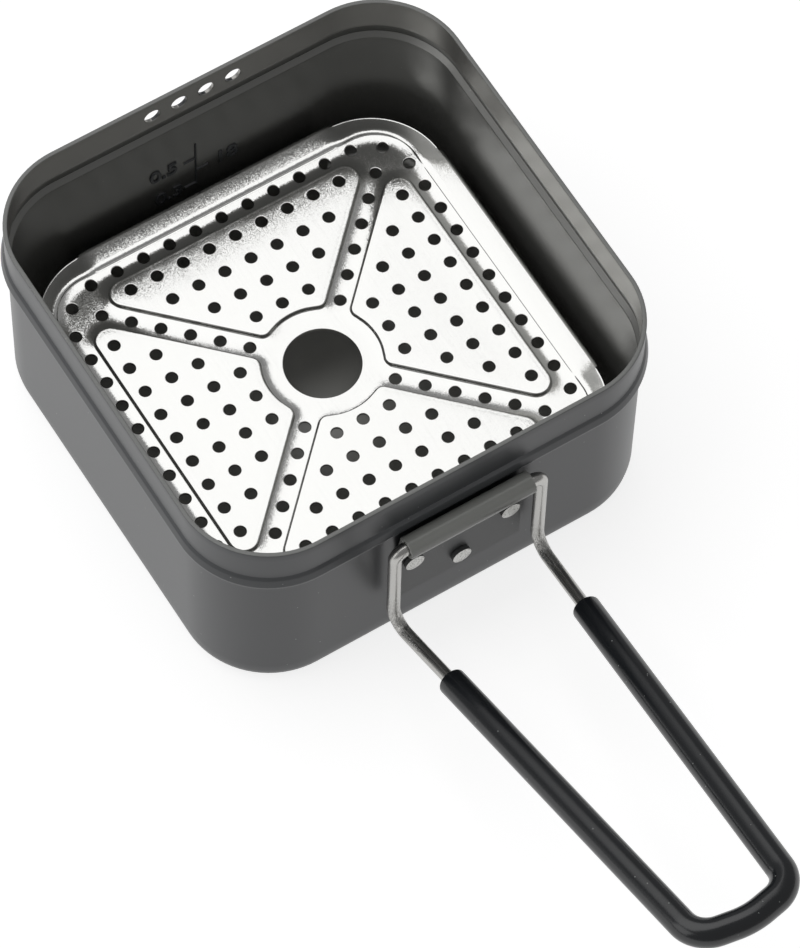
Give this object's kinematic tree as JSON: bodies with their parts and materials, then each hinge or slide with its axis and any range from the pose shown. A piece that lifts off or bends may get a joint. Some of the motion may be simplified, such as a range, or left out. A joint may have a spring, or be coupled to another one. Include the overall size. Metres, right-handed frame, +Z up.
{
  "type": "square steaming pot",
  "caption": "Square hard-anodised pot with a perforated steam plate standing inside and a wire handle with a black grip that folds over the mouth.",
  "frame": {"origin": "middle of the pot's flat underside", "axes": "+Z up, handle towards -Y, pouring holes in the wall at +Y, +X to the right when the handle points at the viewer"},
  "size_m": [0.1334, 0.2676, 0.0695],
  "materials": {
    "anodised_pot": "hard anodised, satin",
    "anodised_sheet": "hard anodised, satin",
    "bare_aluminium": "bare, flattened",
    "stainless_wire": "drawn and polished",
    "black_silicone": "moulded, satin",
    "bright_stainless": "bright rolled sheet, pressed"
  },
  "bodies": {
    "pot": {"pot_body": "anodised_pot", "hinge_bracket": "anodised_sheet", "rivet_left": "bare_aluminium", "rivet_middle": "bare_aluminium", "rivet_right": "bare_aluminium"},
    "handle": {"handle_wire": "stainless_wire", "handle_sleeve": "black_silicone"},
    "plate": {"steam_plate": "bright_stainless"}
  },
  "joints": [
    {"name": "handle_fold", "type": "hinge", "parent": "pot", "child": "handle", "pos_m": [0, -0.0695, 0.051], "axis": [-1, 0, 0], "range_deg": [0, 180]},
    {"name": "plate_lift", "type": "slide", "parent": "pot", "child": "plate", "axis": [0, 0, 1], "range_m": [0, 0.095]}
  ]
}
